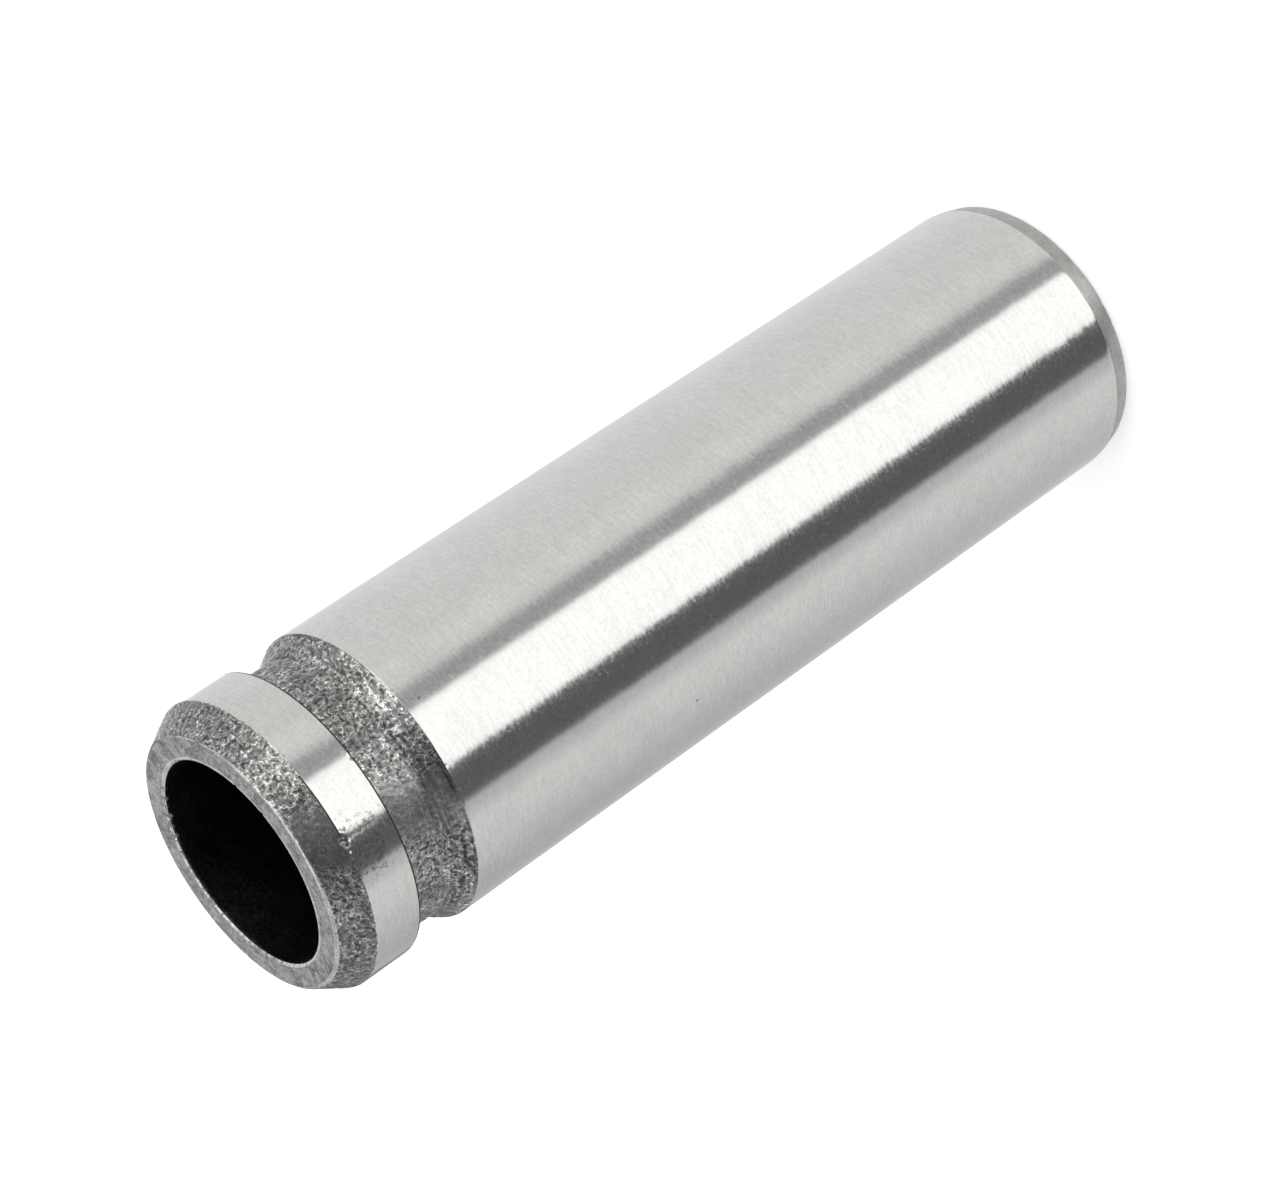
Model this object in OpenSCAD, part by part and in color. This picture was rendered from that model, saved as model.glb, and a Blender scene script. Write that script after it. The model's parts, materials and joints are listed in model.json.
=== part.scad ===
// Valve guide for a heavy engine: a ground cast iron sleeve. It is pressed into the cylinder head,
// and the valve's stem slides in its bore. It stands on its lead-in end, with the seal end up.

/* [Sleeve] */
// Overall length
length = 59; // [30:0.5:110]
// Diameter of the ground body, which the cylinder head grips
body_d = 17; // [15:0.5:30]
// Diameter of the reamed bore, which guides the valve stem
bore_d = 12; // [6:0.5:13]
// Width of the 45 degree countersink at both mouths of the bore
mouth_break = 0.1; // [0.05:0.05:0.3]

/* [Seal end] */
// Length of the coned nose, which the stem seal is pushed over
nose_len = 1.75; // [0.8:0.05:2.2]
// Angle of the nose to the axis
nose_angle = 31; // [15:1:38]
// Rounding between the end face and the nose
nose_edge_r = 0.15; // [0.05:0.05:0.3]
// Width of the ground land between the nose and the groove
land_w = 2.9; // [1:0.1:6]
// Depth of the seal groove below the body's surface
groove_depth = 0.8; // [0.4:0.05:1.2]
// Width of the groove where it meets the land and the body
groove_w = 3.9; // [2.8:0.1:6]
// Angle to the axis of the flank between the groove's bottom and the body
flank_angle = 33; // [20:1:45]
// Fillet between the groove's bottom and that flank
flank_fillet_r = 1.2; // [0.2:0.1:2]
// Fillet in the corner below the land
corner_fillet_r = 0.2; // [0.05:0.05:0.3]

/* [Lead-in end] */
// Length of the taper that starts the sleeve into the head
lead_len = 1.3; // [0.6:0.1:3]
// Angle of the taper to the axis
lead_angle = 15; // [10:1:20]
// Rounding between the taper and the end face
lead_edge_r = 0.3; // [0.1:0.05:0.4]

/* [Edges] */
// Rounding left on the edges of the land and of the body
edge_r = 0.08; // [0.02:0.02:0.1]

/* [Hidden] */
iron = [0.62, 0.62, 0.60];
// Sides of the turned form, and straight steps that stand for one rounding
$fn = 160;
arc_steps = 8;
body_r = body_d / 2;
bore_r = bore_d / 2;
mouth_r = bore_r + mouth_break;
groove_r = body_r - groove_depth;
nose_face_r = body_r - nose_len * tan(nose_angle);
lead_face_r = body_r - lead_len * tan(lead_angle);
flank_len = groove_depth / tan(flank_angle);
// Heights above the lead-in face
land_top_z = length - nose_len;
groove_top_z = land_top_z - land_w;
groove_foot_z = groove_top_z - groove_w;

function unit(v) = v / norm(v);
function polar(r, angle) = r * [cos(angle), sin(angle)];
function heading(v) = atan2(v.y, v.x);

// Arc of radius r that rounds the corner at b, between the sides from a and to c
function arc(a, b, c, r) =
    let(
        to_a = unit(a - b),
        to_c = unit(c - b),
        half = acos(to_a * to_c) / 2,
        reach = r / tan(half),
        centre = b + unit(to_a + to_c) * r / sin(half),
        start = heading(b + to_a * reach - centre),
        sweep = (heading(b + to_c * reach - centre) - start + 540) % 360 - 180
    )
    [for (i = [0:arc_steps]) centre + polar(r, start + sweep * i / arc_steps)];

// Closed outline through corners [radius, height, rounding], where a rounding of 0 is a sharp corner
function outline(corners) =
    let(
        n = len(corners),
        spot = [for (c = corners) [c[0], c[1]]]
    )
    [
        for (i = [0:n - 1])
        for (p = corners[i][2] > 0
            ? arc(spot[(i + n - 1) % n], spot[i], spot[(i + 1) % n], corners[i][2])
            : [spot[i]])
        p
    ];

lead_in_end = [
    [mouth_r, 0, 0],
    [lead_face_r, 0, lead_edge_r],
    [body_r, lead_len, edge_r],
];
seal_groove = [
    [body_r, groove_foot_z, edge_r],
    [groove_r, groove_foot_z + flank_len, flank_fillet_r],
    [groove_r, groove_top_z, corner_fillet_r],
    [body_r, groove_top_z, edge_r],
];
seal_nose = [
    [body_r, land_top_z, edge_r],
    [nose_face_r, length, nose_edge_r],
    [mouth_r, length, 0],
];
bore_wall = [
    [bore_r, length - mouth_break, 0],
    [bore_r, mouth_break, 0],
];

module valve_guide() {
    color(iron)
    rotate_extrude()
    polygon(outline(concat(lead_in_end, seal_groove, seal_nose, bore_wall)));
}

valve_guide();
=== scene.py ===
# %% [markdown]
# # A valve guide, ground and left rough
#
# A valve guide is a sleeve of grey cast iron. It is pressed into an engine's cylinder head, and the
# valve's stem slides in its bore. This lesson dresses its CAD model: it turns a finer sleeve on the
# same sizes, gives each machined surface the finish that its tool leaves, and lights it in a
# white studio with one strip of light and one black card, which is how bright metal is photographed.

# %% Load the frame
import json
import random
from math import atan2, cos, hypot, pi, radians, sin, tan

import bmesh
import bpy
from mathutils import Matrix, Vector, noise


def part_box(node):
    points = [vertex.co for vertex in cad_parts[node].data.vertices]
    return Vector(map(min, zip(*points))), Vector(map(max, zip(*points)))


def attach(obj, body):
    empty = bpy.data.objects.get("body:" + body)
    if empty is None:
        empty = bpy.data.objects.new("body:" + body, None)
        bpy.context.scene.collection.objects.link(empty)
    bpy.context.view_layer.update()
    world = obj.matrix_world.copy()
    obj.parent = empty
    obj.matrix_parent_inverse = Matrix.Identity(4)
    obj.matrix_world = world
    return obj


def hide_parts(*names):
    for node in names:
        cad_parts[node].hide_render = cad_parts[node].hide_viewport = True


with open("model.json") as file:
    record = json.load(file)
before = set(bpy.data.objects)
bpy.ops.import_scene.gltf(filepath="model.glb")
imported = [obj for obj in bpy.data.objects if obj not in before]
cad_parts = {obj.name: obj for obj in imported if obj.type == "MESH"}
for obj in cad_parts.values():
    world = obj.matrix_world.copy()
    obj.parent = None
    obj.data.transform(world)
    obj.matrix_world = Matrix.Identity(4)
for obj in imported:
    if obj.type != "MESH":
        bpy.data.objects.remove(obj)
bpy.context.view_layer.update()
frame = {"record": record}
scene = bpy.context.scene
MM = 0.001

# %% [markdown]
# The sizes that the finished sleeve has to keep are all in the frame: its box gives the length and
# the body's radius, and its mounts give the bore, the ground body and the land. Only the angles and
# the roundings are written here, in millimetres and degrees, as the part's source has them.

# %% Sizes
mounts = {m["name"]: m for m in frame["record"]["mounts"]}
low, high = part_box("valve_guide")
LENGTH = (high.z - low.z) / MM
BODY_R = (high.x - low.x) / 2 / MM
BORE_R = mounts["stem_bore"]["dims"]["r_mm"]


def span(name):
    """Lowest and highest height of a round mount's wall, in millimetres."""
    middle = mounts[name]["pos_m"][2] / MM
    half = mounts[name]["dims"]["length_mm"] / 2
    return middle - half, middle + half


LEAD_Z, GROOVE_FOOT_Z = span("head_press_fit")
LAND_FOOT_Z, LAND_TOP_Z = span("seal_land")
MOUTH_BREAK = LENGTH - span("stem_bore")[1]
NOSE_ANGLE = radians(31)
LEAD_ANGLE = radians(15)
FLANK_ANGLE = radians(33)
GROOVE_DEPTH = 0.8
print(f"length {LENGTH:.2f}, body {BODY_R:.2f}, bore {BORE_R:.2f}")
print(f"land from {LAND_FOOT_Z:.2f} to {LAND_TOP_Z:.2f}")

# %% [markdown]
# ## The camera
#
# The guide stands on its lead-in end, and the photographer's camera looks down at it from the front.
# It is rolled over by more than a right angle, so that in the picture the guide lies along a
# diagonal, with the seal end near and low on the left. The lens is a short telephoto.

# %% Camera
CAMERA_AT = Vector((0, -174.1, 130.77)) * MM
AIM_AT = Vector((-0.294, 0, 31.327)) * MM
ROLL = radians(-124.273)
FOCAL_LENGTH = 104.783
SENSOR_WIDTH = 36
CLIP_START = 1 * MM

camera = bpy.data.objects.new("camera", bpy.data.cameras.new("camera"))
scene.collection.objects.link(camera)
camera.data.sensor_width = SENSOR_WIDTH
camera.data.lens = FOCAL_LENGTH
camera.data.clip_start = CLIP_START
level = (AIM_AT - CAMERA_AT).to_track_quat("-Z", "Y").to_matrix().to_4x4()
camera.matrix_world = Matrix.Translation(CAMERA_AT) @ level @ Matrix.Rotation(ROLL, 4, "Z")
scene.camera = camera
print(f"camera {(AIM_AT - CAMERA_AT).length / MM:.0f} mm from its aim")

# %% [markdown]
# ## Tools for materials
#
# Colours are written as sRGB hex values, as a paint chart gives them, and one function turns them
# into the linear light that Blender reckons in. A second small function adds a node with its
# settings and links, so that each material below reads as a list of what it is made of.

# %% Colour and nodes
def linear(hex_colour):
    """Linear RGBA of an sRGB hex colour."""
    parts = [int(hex_colour[i : i + 2], 16) / 255 for i in (1, 3, 5)]
    return [p / 12.92 if p <= 0.04045 else ((p + 0.055) / 1.055) ** 2.4 for p in parts] + [1.0]


def add(tree, kind, inputs=None, **settings):
    """Adds a node. Each input is a constant, a socket, or a node whose first output is linked."""
    node = tree.nodes.new("ShaderNode" + kind)
    for name, value in settings.items():
        setattr(node, name, value)
    for name, value in (inputs or {}).items():
        if isinstance(value, bpy.types.Node):
            tree.links.new(value.outputs[0], node.inputs[name])
        elif isinstance(value, bpy.types.NodeSocket):
            tree.links.new(value, node.inputs[name])
        else:
            node.inputs[name].default_value = value
    return node


# %% [markdown]
# ## The studio
#
# Bright metal has no look of its own: it shows the room. Here the room is white all round, which
# gives the ground iron its even light grey. In front, low down, a strip of light gives the broad
# white band, a black card beside it the charcoal band, and a grey edge the thin band on its other
# side. Above them the room is dark where the camera stands and half dark beside it, and a light of
# three bars hangs beyond that, towards +X. The walls at both sides are greyer above the horizon, with
# two bright slats each: rough iron sparkles when it has light and dark to choose from. A light and a
# card stand behind the guide, so that it looks like metal from every side.
#
# The room is drawn in the world's nodes. Each card is a patch of azimuth and height, with soft edges,
# and it takes the place of what is behind it. Azimuth 0 is the front, and it grows towards +X.

# %% World
WALL = 1.0
CARDS = [
    # name, azimuth from and to, height from and to, softness across and upright, colour, radiance
    ("shaded wall", -190, -108, -44, 95, 80, 40, "#FFFFFF", 0.60),
    ("front gap", -54, -2, 0, 80, 9, 7, "#FFFFFF", 0.10),
    ("gap edge", -2, 27, 0, 80, 9, 7, "#FFFFFF", 0.64),
    ("card shadow", -66, -40, -95, 8, 14, 10, "#FFFFFF", 0.76),
    ("black card", -54, -24, -95, 8, 4, 4, "#F6F9FF", 0.17),
    ("warm wall", 46, 62, -95, 8, 8, 8, "#FFFEFA", 1.06),
    ("grey edge", 17, 37, -95, 8, 11, 8, "#FCFEFF", 0.53),
    ("strip light", -25.2, 20.6, -95, 2, 3, 3, "#FFFFFF", 1.76),
    ("+X wall above", 60, 160, 6, 70, 30, 8, "#FFFFFF", 0.62),
    ("+X slat low", 60, 160, 10, 17, 30, 4, "#FFFFFF", 1.5),
    ("+X slat high", 60, 160, 27, 34, 30, 4, "#FFFFFF", 1.5),
    ("-X wall above", -160, -60, 6, 70, 30, 8, "#FFFFFF", 0.50),
    ("-X slat low", -160, -60, 10, 17, 30, 4, "#FFFFFF", 1.0),
    ("-X slat high", -160, -60, 27, 34, 30, 4, "#FFFFFF", 1.0),
    ("high light frame", 27, 66, 6, 66, 6, 6, "#FFFFFF", 0.4),
    ("high light low", 28, 64, 9, 18, 6, 4, "#FFFFFF", 4.1),
    ("high light middle", 28, 64, 27, 36, 6, 4, "#FFFFFF", 4.1),
    ("high light upper", 28, 64, 45, 54, 6, 4, "#FFFFFF", 4.1),
    ("ceiling light", -200, 200, 66, 95, 8, 12, "#FFFFFF", 1.4),
    ("back light", 158, 180, -24, 5, 4, 4, "#FFFFFF", 1.6),
    ("back card", 182, 202, -24, 5, 4, 4, "#F6F9FF", 0.2),
]

world = bpy.data.worlds.new("studio")
scene.world = world
world.use_nodes = True
room = world.node_tree
room.nodes.clear()
direction = add(room, "SeparateXYZ", {0: add(room, "TexCoord").outputs["Generated"]})
front = add(room, "Math", {0: direction.outputs["Y"], 1: -1.0}, operation="MULTIPLY")
turn = add(room, "Math", {0: direction.outputs["X"], 1: front}, operation="ARCTAN2")
azimuth = add(room, "Math", {0: turn}, operation="DEGREES")
climb = add(room, "Math", {0: direction.outputs["Z"]}, operation="ARCSINE")
height = add(room, "Math", {0: climb}, operation="DEGREES")


def inside(angle, middle, half, soft):
    """1 within half of the middle and 0 outside, with a soft step."""
    offset = add(room, "Math", {0: angle, 1: middle}, operation="SUBTRACT")
    away = add(room, "Math", {0: offset}, operation="ABSOLUTE")
    edge = {"From Min": half - soft / 2, "From Max": half + soft / 2}
    ramp = {"Value": away, **edge, "To Min": 1.0, "To Max": 0.0}
    return add(room, "MapRange", ramp, interpolation_type="SMOOTHSTEP")


light = [WALL] * 3
for name, az0, az1, el0, el1, soft_across, soft_upright, colour, radiance in CARDS:
    middle = (az0 + az1) / 2
    # Wrapped to half a turn each way of the card's middle, so that a card can cross the back
    turned = add(room, "Math", {0: azimuth, 1: middle + 180, 2: middle - 180}, operation="WRAP")
    across = inside(turned, middle, (az1 - az0) / 2, soft_across)
    upright = inside(height, (el0 + el1) / 2, (el1 - el0) / 2, soft_upright)
    there = add(room, "Math", {0: across, 1: upright}, operation="MULTIPLY")
    card = [radiance * part for part in linear(colour)[:3]]
    light = add(room, "Mix", {0: there, 4: light, 5: card}, data_type="VECTOR", label=name).outputs[1]
print("studio cards:", len(CARDS))

# %% [markdown]
# The camera sees a plain white backdrop, and so would glass. The metal sees the same white with the
# cards before it, and the same room lights the table.

# %% Backdrop
studio = add(room, "Background", {"Color": light})
white = add(room, "Background", {"Color": [1, 1, 1, 1], "Strength": 1.0})
rays = add(room, "LightPath")
by_camera = rays.outputs["Is Camera Ray"]
by_glass = rays.outputs["Is Transmission Ray"]
seen = add(room, "Math", {0: by_camera, 1: by_glass}, operation="ADD")
backdrop = add(room, "MixShader", {0: seen, 1: studio, 2: white})
add(room, "OutputWorld", {"Surface": backdrop})

# %% [markdown]
# The table is a plain sheet of matt white paper. Metal looks through it at the room, so that it
# shows the white wall and the cards below the horizon too. A little light of its own, seen by the
# camera alone, lifts the paper to the white of the backdrop, and the guide's soft shadow stays.

# %% Table
TABLE_HALF = 2.0
TABLE_LIFT = 0.55

bpy.ops.mesh.primitive_plane_add(size=2 * TABLE_HALF)
table = bpy.context.object
table.name = "table"
paper = bpy.data.materials.new("matt_white_paper")
paper.use_nodes = True
tree = paper.node_tree
tree.nodes.clear()
rays = add(tree, "LightPath")
lift = add(tree, "Math", {0: rays.outputs["Is Camera Ray"], 1: TABLE_LIFT}, operation="MULTIPLY")
matt = add(tree, "BsdfDiffuse", {"Color": linear("#E6E6E6")})
sheet = add(tree, "AddShader", {0: matt, 1: add(tree, "Emission", {"Strength": lift})})
by_metal = rays.outputs["Is Glossy Ray"]
by_glass = rays.outputs["Is Transmission Ray"]
passing = add(tree, "Math", {0: by_metal, 1: by_glass}, operation="ADD")
see_through = add(tree, "MixShader", {0: passing, 1: sheet, 2: add(tree, "BsdfTransparent")})
add(tree, "OutputMaterial", {"Surface": see_through})
table.data.materials.append(paper)

# %% [markdown]
# ## The sleeve
#
# The real guide is turned, so it is turned here too. Its half-section is drawn in the XZ plane as a
# chain of edges, one extrusion of a point for each straight stretch. The corners are rounded with a
# vertex bevel, and the chain is spun once round Z. A point bevel leaves true arcs, which a bevel of
# the spun solid would only come near to.

# %% Helpers for edit mode
# Points closer than this, in millimetres, are one point
NEAR = 1e-3
SAME_SPOT = NEAR * MM


def deselect_objects():
    """Leaves no object selected, so that the next tool works on its own object alone."""
    bpy.ops.object.select_all(action="DESELECT")


def select_points(thing, wanted):
    """Selects in edit mode the points for which wanted(x, y, z), in millimetres, is true."""
    mesh = bmesh.from_edit_mesh(thing.data)
    bpy.ops.mesh.select_all(action="DESELECT")
    bpy.ops.mesh.select_mode(type="VERT")
    for v in mesh.verts:
        if wanted(v.co.x / MM, v.co.y / MM, v.co.z / MM):
            v.select_set(True)
    mesh.select_flush(True)
    bmesh.update_edit_mesh(thing.data)


# %% Half-section
NOSE_FACE_R = BODY_R - (LENGTH - LAND_TOP_Z) * tan(NOSE_ANGLE)
LEAD_FACE_R = BODY_R - LEAD_Z * tan(LEAD_ANGLE)
GROOVE_R = BODY_R - GROOVE_DEPTH
FLANK_TOP_Z = GROOVE_FOOT_Z + GROOVE_DEPTH / tan(FLANK_ANGLE)
MOUTH_R = BORE_R + MOUTH_BREAK
CORNERS = [
    # radius, height and rounding in millimetres, and the straight steps that stand for the rounding
    (LEAD_FACE_R, 0, 0.3, 4),
    (BODY_R, LEAD_Z, 1.50, 4),
    (BODY_R, GROOVE_FOOT_Z, 0.08, 1),
    (GROOVE_R, FLANK_TOP_Z, 1.2, 4),
    (GROOVE_R, LAND_FOOT_Z, 0.2, 4),
    (BODY_R, LAND_FOOT_Z, 0.08, 2),
    (BODY_R, LAND_TOP_Z, 0.08, 1),
    (NOSE_FACE_R, LENGTH, 0.15, 3),
    (MOUTH_R, LENGTH, 0.02, 1),
    (BORE_R, LENGTH - MOUTH_BREAK, 0.02, 1),
    (BORE_R, MOUTH_BREAK, 0.02, 1),
    (MOUTH_R, 0, 0.02, 1),
]

deselect_objects()
bpy.ops.mesh.primitive_plane_add(size=MM, location=(CORNERS[0][0] * MM, 0, CORNERS[0][1] * MM))
sleeve = bpy.context.object
sleeve.name = "turned_sleeve"
bpy.ops.object.transform_apply(location=True, rotation=True, scale=True)
bpy.ops.object.mode_set(mode="EDIT")
bpy.ops.mesh.select_all(action="SELECT")
bpy.ops.mesh.merge(type="CENTER")
for here, after in zip(CORNERS, CORNERS[1:] + CORNERS[:1]):
    step = ((after[0] - here[0]) * MM, 0, (after[1] - here[1]) * MM)
    bpy.ops.mesh.extrude_region_move(TRANSFORM_OT_translate={"value": step})
bpy.ops.mesh.select_all(action="SELECT")
bpy.ops.mesh.remove_doubles(threshold=SAME_SPOT)
for i, (radius, z, rounding, steps) in enumerate(CORNERS):
    before = CORNERS[i - 1]
    after = CORNERS[(i + 1) % len(CORNERS)]
    arriving = Vector((radius - before[0], z - before[1]))
    leaving = Vector((after[0] - radius, after[1] - z))
    reach = rounding * tan(arriving.angle(leaving) / 2)
    select_points(sleeve, lambda x, y, h: abs(x - radius) < NEAR and abs(h - z) < NEAR)
    arc = {"offset_type": "OFFSET", "segments": steps, "profile": 0.5}
    bpy.ops.mesh.bevel(offset=reach * MM, affect="VERTICES", **arc)
bpy.ops.object.mode_set(mode="OBJECT")
print("half-section:", len(sleeve.data.vertices), "points")

# %% [markdown]
# Extra points are cut into the section with bisect. A few beside each edge hold the shading flat
# there, and close rows across the nose and the groove carry their rough relief.

# %% Holding points and rough rows
HOLD = 0.15
GUARDS = (0.12, 0.18, 0.26, 0.36)
ROUGH_PITCH = 0.08
BODY_ROWS = 6
BORE_ROWS = (HOLD * 2, HOLD * 3, LENGTH - HOLD * 3, LENGTH - HOLD * 2)
RIM_RING = 0.14
FACE_RINGS = [MOUTH_R + HOLD * i for i in (0.5, 1, 2, 3, 4)] + [NOSE_FACE_R - RIM_RING]
# The outside and the bore are told apart by this margin on either side of the mouth's radius
MARGIN = 0.02


def row_heights():
    """Heights of the points that are cut into the outside of the section."""
    heights = [LEAD_Z / 2, LEAD_Z - 2 * HOLD, LEAD_Z + 2 * HOLD]
    for edge, way in ((GROOVE_FOOT_Z, -1), (LAND_FOOT_Z, 1), (LAND_TOP_Z, -1)):
        heights += [edge + way * guard for guard in GUARDS]
    rise = (GROOVE_FOOT_Z - LEAD_Z) / BODY_ROWS
    heights += [LEAD_Z + rise * i for i in range(1, BODY_ROWS)]
    for foot, top in ((GROOVE_FOOT_Z, LAND_FOOT_Z), (LAND_TOP_Z, LENGTH)):
        count = int((top - foot) / ROUGH_PITCH)
        heights += [foot + (top - foot) * (i + 0.5) / count for i in range(count)]
    return heights


bpy.ops.object.mode_set(mode="EDIT")
for z in row_heights():
    select_points(sleeve, lambda x, y, h: x > MOUTH_R + MARGIN)
    bpy.ops.mesh.bisect(plane_co=(0, 0, z * MM), plane_no=(0, 0, 1), threshold=SAME_SPOT)
for z in BORE_ROWS:
    select_points(sleeve, lambda x, y, h: x < MOUTH_R - MARGIN)
    bpy.ops.mesh.bisect(plane_co=(0, 0, z * MM), plane_no=(0, 0, 1), threshold=SAME_SPOT)
for cut_r in FACE_RINGS:
    for face_z in (0, LENGTH):
        select_points(sleeve, lambda x, y, h: abs(h - face_z) < NEAR)
        bpy.ops.mesh.bisect(plane_co=(cut_r * MM, 0, 0), plane_no=(1, 0, 0), threshold=SAME_SPOT)
bpy.ops.object.mode_set(mode="OBJECT")
print("with its rows:", len(sleeve.data.vertices), "points")

# %% Spin
SIDES = 640

bpy.ops.object.mode_set(mode="EDIT")
bpy.ops.mesh.select_all(action="SELECT")
bpy.ops.mesh.spin(steps=SIDES, angle=2 * pi, center=(0, 0, 0), axis=(0, 0, 1))
bpy.ops.mesh.select_all(action="SELECT")
bpy.ops.mesh.remove_doubles(threshold=SAME_SPOT)
bpy.ops.mesh.normals_make_consistent(inside=False)
bpy.ops.object.mode_set(mode="OBJECT")
bpy.ops.object.shade_smooth()
print("spun:", len(sleeve.data.polygons), "faces")

# %% [markdown]
# ## Rough relief
#
# The nose and the groove are turned and then left as the blast wheel leaves them: a crumbly grain
# of ridges and pits, a fifth of a millimetre across. It is real relief here, so that it is in the
# mesh as well as in the picture. Vertex weights hold it off the ground edges.

# %% Where the relief is
RELIEF_FADE = 0.14
# The end face is flat and smooth out to this radius
FACE_EDGE_R = NOSE_FACE_R - 0.05
# The guide turned as the blast passed along it, so one slanting stripe was struck least and is
# almost as smooth as it was turned. It has an azimuth at the seal end's face and a lead for each
# millimetre of height, and outside its core it fades out up to its edge.
STRIPE_AT = radians(-8)
STRIPE_LEAD = radians(1.7)
STRIPE_CORE = radians(8)
STRIPE_EDGE = radians(16)
STRIPE_SMOOTH = 0.62


def smooth_stripe(x, y, z):
    """1 in the middle of the stripe that the blast struck least, and 0 away from it."""
    middle = STRIPE_AT + STRIPE_LEAD * (z - LENGTH)
    off = abs(atan2(x, -y) - middle)
    return min(1.0, max(0.0, (STRIPE_EDGE - off) / (STRIPE_EDGE - STRIPE_CORE)))


def roughness_at(x, y, z):
    """0 on the ground and faced surfaces, 1 on the blasted ones, with a short fade between."""
    if hypot(x, y) < FACE_EDGE_R:
        return 0.0
    struck = 1 - STRIPE_SMOOTH * smooth_stripe(x, y, z)
    if z > LAND_TOP_Z:
        return struck * min(1.0, (z - LAND_TOP_Z) / RELIEF_FADE, (LENGTH - z) / RELIEF_FADE)
    return struck * min(1.0, (z - GROOVE_FOOT_Z) / RELIEF_FADE, (LAND_FOOT_Z - z) / RELIEF_FADE)


blasted = sleeve.vertex_groups.new(name="blasted")
for v in sleeve.data.vertices:
    weight = roughness_at(*(v.co / MM))
    if weight > 0:
        blasted.add([v.index], weight, "REPLACE")

# %% Relief
RELIEF = [
    # name, cloud type, grain and height from pit to ridge in millimetres, the value that stays level
    ("ridges", "SOFT_NOISE", 0.23, 0.08, 0.5),
    ("grain", "SOFT_NOISE", 0.13, 0.04, 0.5),
]

deselect_objects()
sleeve.select_set(True)
bpy.context.view_layer.objects.active = sleeve
smooth = [(v.co.copy(), v.normal.copy()) for v in sleeve.data.vertices]
for name, cloud, grain, height_mm, level_value in RELIEF:
    texture = bpy.data.textures.new(name, "CLOUDS")
    texture.noise_basis = "ORIGINAL_PERLIN"
    texture.noise_type = cloud
    texture.noise_scale = grain * MM
    texture.noise_depth = 1
    press = sleeve.modifiers.new(name, "DISPLACE")
    press.texture = texture
    press.texture_coords = "LOCAL"
    press.strength = height_mm * MM
    press.mid_level = level_value
    press.vertex_group = "blasted"
    bpy.ops.object.modifier_apply(modifier=name)
relief = sleeve.data.attributes.new("relief_mm", "FLOAT", "POINT")
for v, (co, normal), kept in zip(sleeve.data.vertices, smooth, relief.data):
    kept.value = (v.co - co).dot(normal) / MM
depths = [kept.value for kept in relief.data if kept.value]
print(f"relief from {min(depths):.3f} to {max(depths):.3f} mm")

# %% [markdown]
# Edges of cast iron chip rather than bend. Small nicks are pressed into the rims of both ends, the
# mouth of the bore and the edges of the land and the groove. The rows of NICKS are placed one by
# one, the last of them as a pit in the end face, and the rest are strewn along EDGES by chance.

# %% Nicks
NICK_DEPTH = 0.2
NICKS = [
    # azimuth in degrees, radius, height, width and depth, in millimetres
    (-11.6, BODY_R, LAND_TOP_Z, 0.16, 0.06),
    (-13.2, BODY_R, LAND_TOP_Z, 0.30, 0.13),
    (-15.0, BODY_R, LAND_TOP_Z, 0.20, 0.09),
    (-17.0, BODY_R, LAND_TOP_Z, 0.14, 0.06),
    (-20.5, BODY_R, LAND_TOP_Z, 0.12, 0.04),
    (8.5, BODY_R, LAND_FOOT_Z, 0.22, 0.08),
    (118, MOUTH_R, LENGTH, 0.16, 0.12),
    (126, MOUTH_R, LENGTH, 0.20, 0.16),
    (131, MOUTH_R, LENGTH, 0.15, 0.12),
    (138, MOUTH_R, LENGTH, 0.22, 0.18),
    (144, MOUTH_R, LENGTH, 0.15, 0.12),
    (150, MOUTH_R, LENGTH, 0.18, 0.14),
    (-90, 6.5, LENGTH, 0.22, 0.18),
]
EDGES = [
    # radius, height, how many nicks, greatest width and depth, in millimetres
    (BODY_R, LAND_TOP_Z, 14, 0.16, 0.04),
    (BODY_R, LAND_FOOT_Z, 12, 0.16, 0.04),
    (BODY_R, GROOVE_FOOT_Z, 10, 0.14, 0.03),
    (MOUTH_R, LENGTH, 12, 0.12, 0.06),
    (NOSE_FACE_R, LENGTH, 16, 0.16, 0.04),
    (LEAD_FACE_R, 0, 12, 0.20, 0.05),
]

SEED = 17
WIDEST = 0.3

chance = random.Random(SEED)
for edge_r, edge_z, count, width, depth in EDGES:
    for _ in range(count):
        size = chance.uniform(0.5, 1.0)
        NICKS.append((chance.uniform(-180, 180), edge_r, edge_z, width * size, depth * size))
nicked = sleeve.vertex_groups.new(name="nicked")
weights = {}
for v in sleeve.data.vertices:
    spot = v.co / MM
    if not any(abs(spot.z - edge_z) < WIDEST for _, edge_z, *_ in EDGES):
        continue
    for azimuth_deg, edge_r, edge_z, width, depth in NICKS:
        if abs(spot.z - edge_z) > width:
            continue
        turn_to = radians(azimuth_deg)
        away = (spot - Vector((edge_r * sin(turn_to), -edge_r * cos(turn_to), edge_z))).length
        if away < width:
            weights[v.index] = max(weights.get(v.index, 0), (1 - away / width) * depth / NICK_DEPTH)
for index, weight in weights.items():
    nicked.add([index], weight, "REPLACE")
chip = sleeve.modifiers.new("chip", "DISPLACE")
chip.strength = -NICK_DEPTH * MM
chip.mid_level = 0
chip.vertex_group = "nicked"
bpy.ops.object.modifier_apply(modifier="chip")
print(len(NICKS), "nicks on", len(weights), "points")

# %% [markdown]
# ## Finishes
#
# Grey iron shows how each of its surfaces was cut. The body and the land are ground: a wheel leaves
# fine lines round them, an eighth of a millimetre apart, which make the edges of each mirrored band
# a little ragged. The material turns the surface to each side in step with those lines.

# %% A new material
def new_material(name):
    """A material with an empty node tree, and that tree."""
    material = bpy.data.materials.new(name)
    material.use_nodes = True
    material.node_tree.nodes.clear()
    return material, material.node_tree


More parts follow.
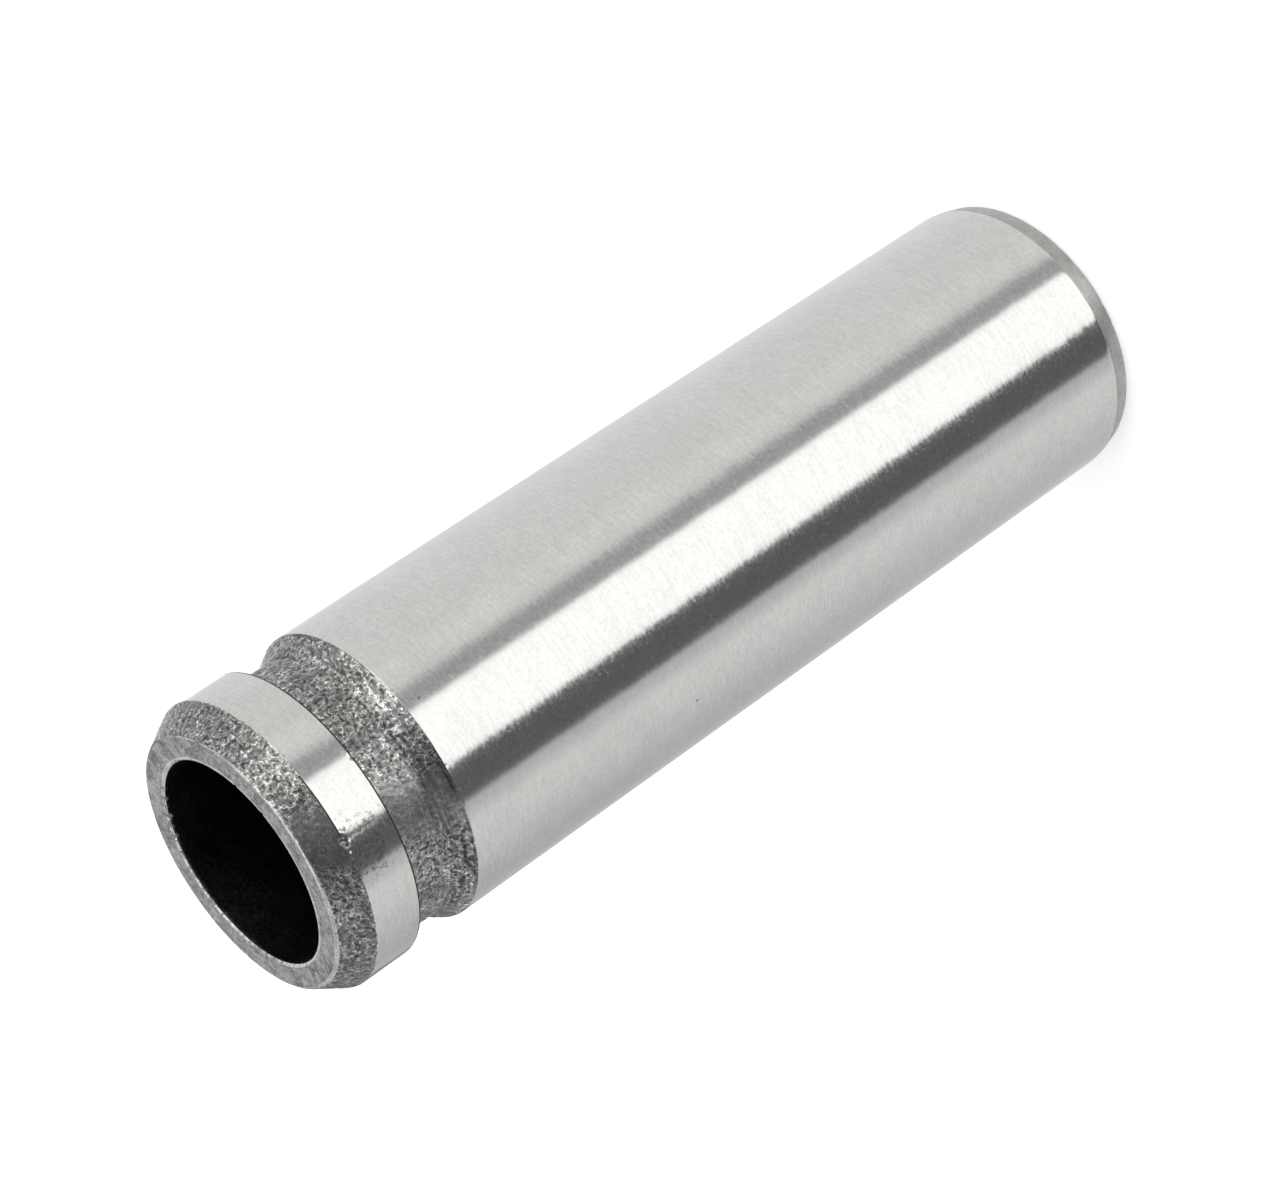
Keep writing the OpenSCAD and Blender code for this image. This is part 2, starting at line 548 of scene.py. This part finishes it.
# %% Ground cast iron
# The tilt of the surface round the axis, in radians, that each pattern gives it at most
LINES_TILT = 0.0045
CHATTER_TILT = 0.0035
SPECKS_TILT = 0.0042
# The share of the cells that hold a pore, and its radius as a part of a cell
PORE_SHARE = 0.025
PORE_RADIUS = 0.075
# The scuffed side of the land: its azimuth and its distance from the land's front, how far the
# scuff is thick and where it ends, in millimetres, and how much thicker than elsewhere it is
SCUFF_AT = radians(-19)
SCUFF_BACK = 0.8
SCUFF_CORE = 1.0
SCUFF_END = 2.6
SCUFF_MORE = 0.13


def ground_cast_iron():
    """Cast iron off the grinding wheel: bright, with fine lines round it and a few open pores."""
    material, tree = new_material("ground_cast_iron")
    place = add(tree, "TexCoord")
    mm = add(tree, "VectorMath", {0: place.outputs["Object"], "Scale": 1 / MM}, operation="SCALE")
    along_lines = add(tree, "Mapping", {"Vector": mm, "Scale": (1.0, 1.0, 7.5)})
    lines = add(tree, "TexNoise", {"Vector": along_lines, "Scale": 1.0, "Detail": 1.0, "Roughness": 0.6})
    along_chatter = add(tree, "Mapping", {"Vector": mm, "Scale": (0.3, 0.3, 0.9)})
    chatter = add(tree, "TexNoise", {"Vector": along_chatter, "Scale": 1.0, "Detail": 1.0})
    specks = add(tree, "TexNoise", {"Vector": mm, "Scale": 5.0, "Detail": 2.0, "Roughness": 0.6})
    clouds = add(tree, "TexNoise", {"Vector": mm, "Scale": 0.35, "Detail": 3.0, "Roughness": 0.6})

    # The surface leans round the axis with the lines, the chatter and the specks
    swing = {"From Min": 0.3, "From Max": 0.7}
    by_lines = add(
        tree,
        "MapRange",
        {"Value": lines, **swing, "To Min": -LINES_TILT, "To Max": LINES_TILT},
    )
    by_chatter = add(
        tree,
        "MapRange",
        {"Value": chatter, **swing, "To Min": -CHATTER_TILT, "To Max": CHATTER_TILT},
    )
    by_specks = add(
        tree,
        "MapRange",
        {"Value": specks, **swing, "To Min": -SPECKS_TILT, "To Max": SPECKS_TILT},
    )
    some = add(tree, "Math", {0: by_lines, 1: by_chatter}, operation="ADD")
    tilt = add(tree, "Math", {0: some, 1: by_specks}, operation="ADD")
    normal = add(tree, "NewGeometry").outputs["Normal"]
    round_axis = add(tree, "VectorMath", {0: (0, 0, 1), 1: normal}, operation="CROSS_PRODUCT")
    tilted = add(tree, "VectorMath", {0: round_axis, 1: tilt, 2: normal}, operation="MULTIPLY_ADD")

    # Pores where graphite flakes came out: dark dots in a few of the cells of a fine pattern
    cells = add(tree, "TexVoronoi", {"Vector": mm, "Scale": 1.1})
    luck = add(tree, "SeparateColor", {0: cells.outputs["Color"]})
    rare = add(tree, "Math", {0: luck, 1: 1 - PORE_SHARE}, operation="GREATER_THAN")
    small = add(tree, "Math", {0: cells.outputs["Distance"], 1: PORE_RADIUS}, operation="LESS_THAN")
    pore = add(tree, "Math", {0: rare, 1: small}, operation="MULTIPLY")

    tone = add(tree, "MapRange", {"Value": lines, "To Min": 0.95, "To Max": 1.05, **swing})
    patch = add(tree, "MapRange", {"Value": clouds, "To Min": 0.97, "To Max": 1.03, **swing})
    crystals = add(tree, "MapRange", {"Value": specks, "To Min": 0.93, "To Max": 1.07, **swing})
    both = add(tree, "Math", {0: tone, 1: patch}, operation="MULTIPLY")
    shade = add(tree, "Math", {0: both, 1: crystals}, operation="MULTIPLY")
    metal = add(tree, "VectorMath", {0: linear("#C7C6C4")[:3], "Scale": shade}, operation="SCALE")
    colour = add(tree, "Mix", {0: pore, 6: metal, 7: linear("#3A3936")}, data_type="RGBA")

    # One side of the land was scuffed in handling: dull and dark patches there, near its front
    scuffed_at = (BODY_R * sin(SCUFF_AT), -BODY_R * cos(SCUFF_AT), LAND_TOP_Z - SCUFF_BACK)
    away = add(tree, "VectorMath", {0: mm, 1: scuffed_at}, operation="DISTANCE").outputs["Value"]
    reach = {"From Min": SCUFF_CORE, "From Max": SCUFF_END, "To Min": SCUFF_MORE, "To Max": 0.0}
    near = add(tree, "MapRange", {"Value": away, **reach})
    rubs = add(tree, "TexNoise", {"Vector": mm, "Scale": 4.5, "Detail": 3.0, "Roughness": 0.65})
    wear_and_highlight = add(tree, "Math", {0: near, 1: rubs}, operation="ADD")
    scuffing = {"From Min": 0.60, "From Max": 0.78, "To Min": 0.0, "To Max": 0.2}
    scuff = add(tree, "MapRange", {"Value": wear_and_highlight, **scuffing})
    sheen = add(tree, "MapRange", {"Value": specks, "To Min": 0.11, "To Max": 0.16, **swing})
    dull = add(tree, "Math", {0: sheen, 1: scuff}, operation="ADD")
    hurt = add(tree, "Math", {0: scuff, 1: near}, operation="MULTIPLY")
    bruise = add(tree, "MapRange", {"Value": hurt, "From Max": 0.02, "To Min": 1.0, "To Max": 0.3})
    bruised = add(tree, "VectorMath", {0: colour.outputs[2], "Scale": bruise}, operation="SCALE")
    shader = add(
        tree,
        "BsdfPrincipled",
        {"Base Color": bruised, "Metallic": 1.0, "Roughness": dull, "Normal": tilted},
    )
    add(tree, "OutputMaterial", {"Surface": shader})
    return material


# %% [markdown]
# The blasted surfaces are duller. Their relief is in the mesh, and the material adds what is finer
# than the mesh: a grain in the bump, painted shade that darkens the pits where the surface is hollow,
# painted highlights on thin crests that wind between them, and faint turning marks.

# %% Blasted cast iron
# Millimetres: the relief that the fine grain adds, and the heights at which the painted shade is darkest
# in a pit and lightest on a ridge
FINE_MM = 0.016
PIT_MM = -0.018
RIDGE_MM = 0.022
# How far from its middle value the coarser grain still makes a crest
CREST_HALF = 0.042
# Millimetres above the flank in which its turning marks fade
MARKS_FADE = 0.5


def blasted_cast_iron():
    """Turned cast iron after blasting: lighter ridges and painted highlights on crests, painted shade in
    the pits, faint turning marks.
    """
    material, tree = new_material("blasted_cast_iron")
    place = add(tree, "TexCoord")
    mm = add(tree, "VectorMath", {0: place.outputs["Object"], "Scale": 1 / MM}, operation="SCALE")
    depth = add(tree, "Attribute", attribute_name="relief_mm").outputs["Fac"]
    grain = add(tree, "TexNoise", {"Vector": mm, "Scale": 6.0, "Detail": 2.0, "Roughness": 0.6})
    curls = add(tree, "TexNoise", {"Vector": mm, "Scale": 3.0, "Detail": 1.0, "Roughness": 0.5})
    along_marks = add(tree, "Mapping", {"Vector": mm, "Scale": (0.3, 0.3, 5.0)})
    marks = add(tree, "TexNoise", {"Vector": along_marks, "Scale": 1.0, "Detail": 1.0})
    clouds = add(tree, "TexNoise", {"Vector": mm, "Scale": 0.9, "Detail": 1.0})

    # How hard the blast struck: least in the slanting stripe, as smooth_stripe has it in the mesh
    split = add(tree, "SeparateXYZ", {0: mm})
    front = add(tree, "Math", {0: split.outputs["Y"], 1: -1.0}, operation="MULTIPLY")
    azimuth = add(tree, "Math", {0: split.outputs["X"], 1: front}, operation="ARCTAN2")
    start = STRIPE_AT - STRIPE_LEAD * LENGTH
    up = split.outputs["Z"]
    middle = add(tree, "Math", {0: up, 1: STRIPE_LEAD, 2: start}, operation="MULTIPLY_ADD")
    apart = add(tree, "Math", {0: azimuth, 1: middle}, operation="SUBTRACT")
    off = add(tree, "Math", {0: apart}, operation="ABSOLUTE")
    edges = {"Value": off, "From Min": STRIPE_CORE, "From Max": STRIPE_EDGE}
    struck = add(tree, "MapRange", {**edges, "To Min": 1 - STRIPE_SMOOTH, "To Max": 1.0})

    # How far a place stands out of the pits: the mesh's relief, broken up by the finer grain
    swing = {"From Min": 0.3, "From Max": 0.7}
    fine = add(tree, "MapRange", {"Value": grain, "To Min": -FINE_MM, "To Max": FINE_MM, **swing})
    finer = add(tree, "Math", {0: fine, 1: struck}, operation="MULTIPLY")
    stands = add(tree, "Math", {0: depth, 1: finer}, operation="ADD")
    height_and_pit_shade = add(tree, "MapRange", {"Value": stands, "From Min": PIT_MM, "From Max": RIDGE_MM})
    # Painted shade: the colour darkens from the ridges down into the pits, as shade would in the hollows
    metal = add(tree, "Mix", {0: height_and_pit_shade, 6: linear("#535251"), 7: linear("#ABAAA8")}, data_type="RGBA")
    dull = add(tree, "MapRange", {"Value": height_and_pit_shade, "To Min": 0.45, "To Max": 0.25})

    # Thin winding crests run where the coarser grain crosses its middle value, and get a painted
    # highlight
    signed = add(tree, "Math", {0: curls, 1: 0.5}, operation="SUBTRACT")
    folded = add(tree, "Math", {0: signed}, operation="ABSOLUTE")
    thin = {"Value": folded, "From Min": 0.0, "From Max": CREST_HALF, "To Min": 1.0, "To Max": 0.0}
    line = add(tree, "MapRange", thin, interpolation_type="SMOOTHSTEP")
    crest = add(tree, "Math", {0: line, 1: struck}, operation="MULTIPLY")
    crest_highlight_gain = add(tree, "MapRange", {"Value": line, "To Min": -0.5, "To Max": 1.1})

    # Turning marks show through where the blast struck at a slant, on the flank of the groove
    flank = {"From Min": FLANK_TOP_Z, "From Max": FLANK_TOP_Z + MARKS_FADE}
    clear = add(tree, "MapRange", {"Value": up, **flank, "To Min": 1.0, "To Max": 0.1})
    above = add(tree, "Math", {0: marks, 1: 0.5}, operation="SUBTRACT")
    swell = add(tree, "Math", {0: above, 1: clear}, operation="MULTIPLY")
    streak = add(tree, "Math", {0: swell, 1: 2.6, 2: 1.0}, operation="MULTIPLY_ADD")
    patch = add(tree, "MapRange", {"Value": clouds, "To Min": 0.82, "To Max": 1.18, **swing})
    # Painted highlight: the colour is raised on the crests and lowered between them, most where the
    # blast struck
    painted_crest_highlight = add(tree, "Math", {0: crest_highlight_gain, 1: struck, 2: 1.3}, operation="MULTIPLY_ADD")
    wear_and_highlight = add(tree, "Math", {0: streak, 1: painted_crest_highlight}, operation="MULTIPLY")
    shade = add(tree, "Math", {0: wear_and_highlight, 1: patch}, operation="MULTIPLY")
    colour = add(tree, "VectorMath", {0: metal.outputs[2], "Scale": shade}, operation="SCALE")
    rough = add(tree, "Math", {0: grain, 1: struck}, operation="MULTIPLY")
    grown = add(tree, "Math", {0: crest, 1: 0.6, 2: rough}, operation="MULTIPLY_ADD")
    height = add(tree, "Math", {0: swell, 1: 1.5, 2: grown}, operation="MULTIPLY_ADD")
    bump = add(tree, "Bump", {"Strength": 0.6, "Distance": 0.012 * MM, "Height": height})
    shader = add(
        tree,
        "BsdfPrincipled",
        {"Base Color": colour, "Metallic": 1.0, "Roughness": dull, "Normal": bump},
    )
    add(tree, "OutputMaterial", {"Surface": shader})
    return material


# %% [markdown]
# The end faces and the taper are faced with a single-point tool, and the bore is reamed. They are
# duller than the ground body and finer than the blasted groove; the bore's grey is darkened as
# painted shade. The same recipe serves for the thin marks at the edges: painted highlights on the
# rim and round the mouth, and painted shade along the land's foot, with painted dark reflections at
# the land's front and on the rim's far side.

# %% Faced and reamed cast iron
def cut_cast_iron(name, colour, roughness, grain_size, mottle):
    """Cast iron as a cutting tool leaves it: an even grey with a fine grain."""
    material, tree = new_material(name)
    place = add(tree, "TexCoord")
    mm = add(tree, "VectorMath", {0: place.outputs["Object"], "Scale": 1 / MM}, operation="SCALE")
    fineness = {"Scale": 1 / grain_size, "Detail": 3.0, "Roughness": 0.65}
    grain = add(tree, "TexNoise", {"Vector": mm, **fineness})
    clouds = add(tree, "TexNoise", {"Vector": mm, "Scale": 1.1, "Detail": 1.0})
    bump = add(tree, "Bump", {"Strength": 0.7, "Distance": 0.025 * MM, "Height": grain})
    both = add(tree, "Math", {0: clouds, 1: 0.6, 2: grain}, operation="MULTIPLY_ADD")
    mottling = {"From Min": 0.6, "From Max": 1.0, "To Min": 1 - mottle, "To Max": 1 + mottle}
    tone = add(tree, "MapRange", {"Value": both, **mottling})
    metal = add(tree, "VectorMath", {0: linear(colour)[:3], "Scale": tone}, operation="SCALE")
    shader = add(
        tree,
        "BsdfPrincipled",
        {"Base Color": metal, "Metallic": 1.0, "Roughness": roughness, "Normal": bump},
    )
    add(tree, "OutputMaterial", {"Surface": shader})
    return material


# %% Finishes on the sleeve
FINISHES = [
    ground_cast_iron(),
    blasted_cast_iron(),
    cut_cast_iron("faced_cast_iron", "#9E9D9B", 0.33, 0.22, 0.6),
    cut_cast_iron("taper_turned_cast_iron", "#A6A5A3", 0.38, 0.22, 0.15),
    # Reamed iron for the bore, its grey darkened as painted shade that deepens the bore
    cut_cast_iron("reamed_cast_iron", "#5E5E5C", 0.3, 0.2, 0.6),
    # Painted highlight, for the bright rings on the rim and round the mouth
    cut_cast_iron("burnished_cast_iron", "#CECDCB", 0.25, 0.15, 0.3),
    # Painted shade, for the dark lines at the land's edges and the painted dark reflection on the rim's
    # far side
    cut_cast_iron("unground_cast_iron", "#3E3D3B", 0.5, 0.15, 0.3),
]
GROUND, BLASTED, FACED, TAPER, REAMED_AND_SHADED, PAINTED_HIGHLIGHT, PAINTED_SHADE = range(len(FINISHES))
for material in FINISHES:
    sleeve.data.materials.append(material)
# Millimetres: how far the border of the nose and of the taper strays, and how fine its waves are
RAGGED = 0.05
WAVES_PER_MM = 5
PATCHES_PER_MM = 3
# How deep the facing tool's finish goes at the seal end, at the mouth and at the lead-in end, and
# how deep the reamer's goes into the wall of the bore
FACED_DEEP = 0.03
MOUTH_DEEP = 0.12
LEAD_DEEP = 0.05
REAMED_DEEP = 0.01
# Both rings of painted highlight below have gaps, where the patches of noise are under the gaps'
# number. It is doubled on the side where the ring is widest, and 0 on the opposite side.
# A painted highlight rings the mouth, wider on one side: its greatest width, the azimuth of that
# side, and its mean and swing as parts of it
MOUTH_HIGHLIGHT_WIDTH = 0.2
MOUTH_HIGHLIGHT_AT = radians(20)
MOUTH_HIGHLIGHT_MEAN = 0.55
MOUTH_HIGHLIGHT_SWING = 0.45
MOUTH_HIGHLIGHT_GAPS = -0.5
# The rim of the face gets a painted highlight, widest on the side towards this azimuth
RIM_HIGHLIGHT_AT = radians(-45)
RIM_HIGHLIGHT_MEAN = 0.06
RIM_HIGHLIGHT_SWING = 0.08
RIM_HIGHLIGHT_GAPS = -0.3
# Its far side is painted dark and dull, a painted dark reflection: round this azimuth, as far as this
# cosine from it
RIM_SHADE_AT = radians(165)
RIM_SHADE_COSINE = 0.25
RIM_SHADE_DEEP = 0.09
# Painted shade: a thin dark line on the land by its foot, where its corner is shaded
FOOT_SHADE_FROM = 0.005
FOOT_SHADE_TO = 0.11
# Painted dark reflection: a thin dark line at the land's front for a short way
FRONT_SHADE_FROM = -0.03
FRONT_SHADE_TO = 0.05
FRONT_SHADE_AT = radians(0)
FRONT_SHADE_HALF = radians(13)


def facing(x, y, azimuth):
    """1 on the side of the sleeve that faces an azimuth, and -1 on the opposite side."""
    return (x * sin(azimuth) - y * cos(azimuth)) / hypot(x, y)


def finish_at(x, y, z):
    """The finish at a place on the sleeve, in millimetres: what the tools left, with ragged borders, and
    the painted highlights and shade.
    """
    stray = RAGGED * noise.noise(Vector((x, y, z)) * WAVES_PER_MM)
    patches = noise.noise(Vector((x, y, z)) * PATCHES_PER_MM)
    r = hypot(x, y)
    if r < BORE_R + REAMED_DEEP:
        return REAMED_AND_SHADED
    # Painted highlight: a bright ring round the mouth, wider on one side, with gaps
    toward_mouth_highlight = facing(x, y, MOUTH_HIGHLIGHT_AT)
    mouth_highlight_r = MOUTH_R + MOUTH_HIGHLIGHT_WIDTH * (MOUTH_HIGHLIGHT_MEAN + MOUTH_HIGHLIGHT_SWING * toward_mouth_highlight)
    if z > LENGTH - MOUTH_DEEP and r < mouth_highlight_r and patches > MOUTH_HIGHLIGHT_GAPS * (1 + toward_mouth_highlight):
        return PAINTED_HIGHLIGHT
    # Painted dark reflection: the far side of the rim is coloured dark and dull
    in_rim_shade = facing(x, y, RIM_SHADE_AT) > RIM_SHADE_COSINE
    if in_rim_shade and r > FACE_EDGE_R and z > LENGTH - RIM_SHADE_DEEP:
        return PAINTED_SHADE
    # Painted highlight on the rim of the face, widest towards one azimuth, with gaps
    toward_rim_highlight = facing(x, y, RIM_HIGHLIGHT_AT)
    rim_highlight_width = RIM_HIGHLIGHT_MEAN + RIM_HIGHLIGHT_SWING * toward_rim_highlight
    if z > LENGTH - rim_highlight_width and r > NOSE_FACE_R - rim_highlight_width and patches > RIM_HIGHLIGHT_GAPS * (1 + toward_rim_highlight):
        return PAINTED_HIGHLIGHT
    if z < LEAD_DEEP or z > LENGTH - FACED_DEEP or (z > LENGTH - MOUTH_DEEP and r < MOUTH_R):
        return FACED
    if z < LEAD_Z + stray:
        return TAPER
    # Painted shade on the land by its foot
    if LAND_FOOT_Z + FOOT_SHADE_FROM < z < LAND_FOOT_Z + FOOT_SHADE_TO:
        return PAINTED_SHADE
    # Painted dark reflection along a short stretch of the land's front edge
    in_front_shade = facing(x, y, FRONT_SHADE_AT) > cos(FRONT_SHADE_HALF)
    if in_front_shade and FRONT_SHADE_FROM < z - LAND_TOP_Z < FRONT_SHADE_TO:
        return PAINTED_SHADE
    if z > LAND_TOP_Z + stray or GROOVE_FOOT_Z < z < LAND_FOOT_Z + FOOT_SHADE_FROM:
        return BLASTED
    return GROUND


for polygon in sleeve.data.polygons:
    polygon.material_index = finish_at(*(polygon.center / MM))
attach(sleeve, "root")
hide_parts("valve_guide")

# %% Colour management
scene.view_settings.view_transform = "Standard"
